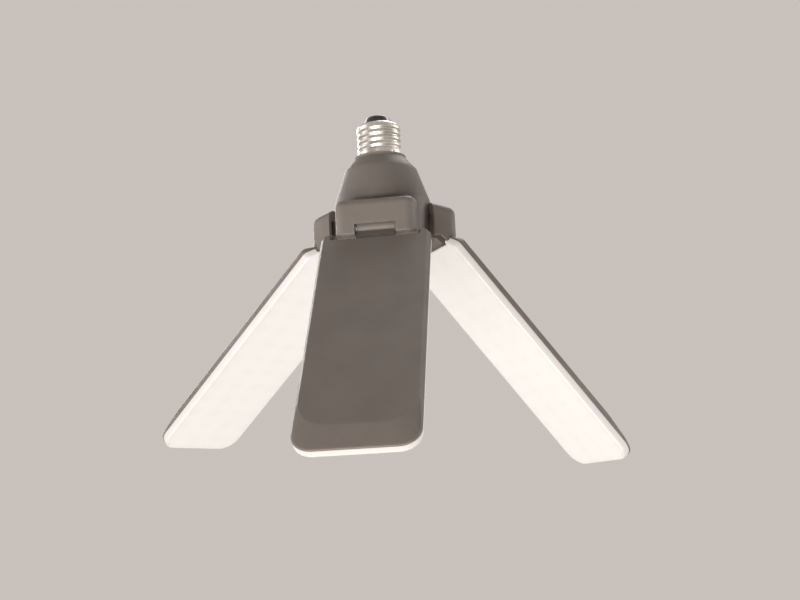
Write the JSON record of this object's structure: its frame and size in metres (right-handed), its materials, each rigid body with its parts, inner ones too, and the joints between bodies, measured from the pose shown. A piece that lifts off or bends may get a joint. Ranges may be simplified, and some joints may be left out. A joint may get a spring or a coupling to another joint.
{
  "type": "foldable led bulb",
  "caption": "Foldable LED bulb: flat light panels hinged round a bell-shaped driver housing swing from folded to level, on an E27 screw cap.",
  "frame": {"origin": "centre of the screw cap's lower rim, on the cap's axis", "axes": "+Z along the cap's axis towards the centre contact; the front leaf hangs towards -Y"},
  "size_m": [0.2913, 0.2505, 0.2103],
  "materials": {
    "body_plastic": "fine satin",
    "diffuser_milk": "milky, lit from inside",
    "cap_metal": "plated, satin",
    "cap_insulator": "glossy",
    "contact_metal": "tinned",
    "screw_steel": "plated",
    "pin_steel": "ground",
    "washer_steel": "plain",
    "board_white": "white mask",
    "led_phosphor": "phosphor",
    "circuit_board": "solder mask",
    "capacitor_sleeve": "sleeve",
    "ferrite": "sintered",
    "chip_epoxy": "moulded",
    "lead_insulation": "smooth"
  },
  "bodies": {
    "hub": {"screw_shell": "cap_metal", "cap_insulator": "cap_insulator", "centre_contact": "contact_metal", "driver_housing": "body_plastic", "bottom_cover": "body_plastic", "cover_screws": "screw_steel", "driver_board": "circuit_board", "smoothing_capacitor": "capacitor_sleeve", "inductor": "ferrite", "rectifier": "chip_epoxy", "input_leads": "lead_insulation", "hinge_pin_front": "pin_steel", "hinge_washers_front": "washer_steel", "hinge_pin_right": "pin_steel", "hinge_washers_right": "washer_steel", "hinge_pin_left": "pin_steel", "hinge_washers_left": "washer_steel"},
    "leaf_front": {"leaf_back_front": "body_plastic", "led_board_front": "board_white", "led_chips_front": "led_phosphor", "board_screws_front": "screw_steel", "diffuser_front": "diffuser_milk"},
    "leaf_right": {"leaf_back_right": "body_plastic", "led_board_right": "board_white", "led_chips_right": "led_phosphor", "board_screws_right": "screw_steel", "diffuser_right": "diffuser_milk"},
    "leaf_left": {"leaf_back_left": "body_plastic", "led_board_left": "board_white", "led_chips_left": "led_phosphor", "board_screws_left": "screw_steel", "diffuser_left": "diffuser_milk"}
  },
  "joints": [
    {"name": "leaf_front_hinge", "type": "hinge", "parent": "hub", "child": "leaf_front", "pos_m": [0, -0.0311, -0.049], "axis": [-1, 0, 0], "range_deg": [-41.3, 48.7]},
    {"name": "leaf_right_hinge", "type": "hinge", "parent": "hub", "child": "leaf_right", "pos_m": [0.02693, 0.01555, -0.049], "axis": [0.5, -0.866, 0], "range_deg": [-40.6, 49.4]},
    {"name": "leaf_left_hinge", "type": "hinge", "parent": "hub", "child": "leaf_left", "pos_m": [-0.02693, 0.01555, -0.049], "axis": [0.5, 0.866, 0], "range_deg": [-52.3, 37.7]}
  ]
}
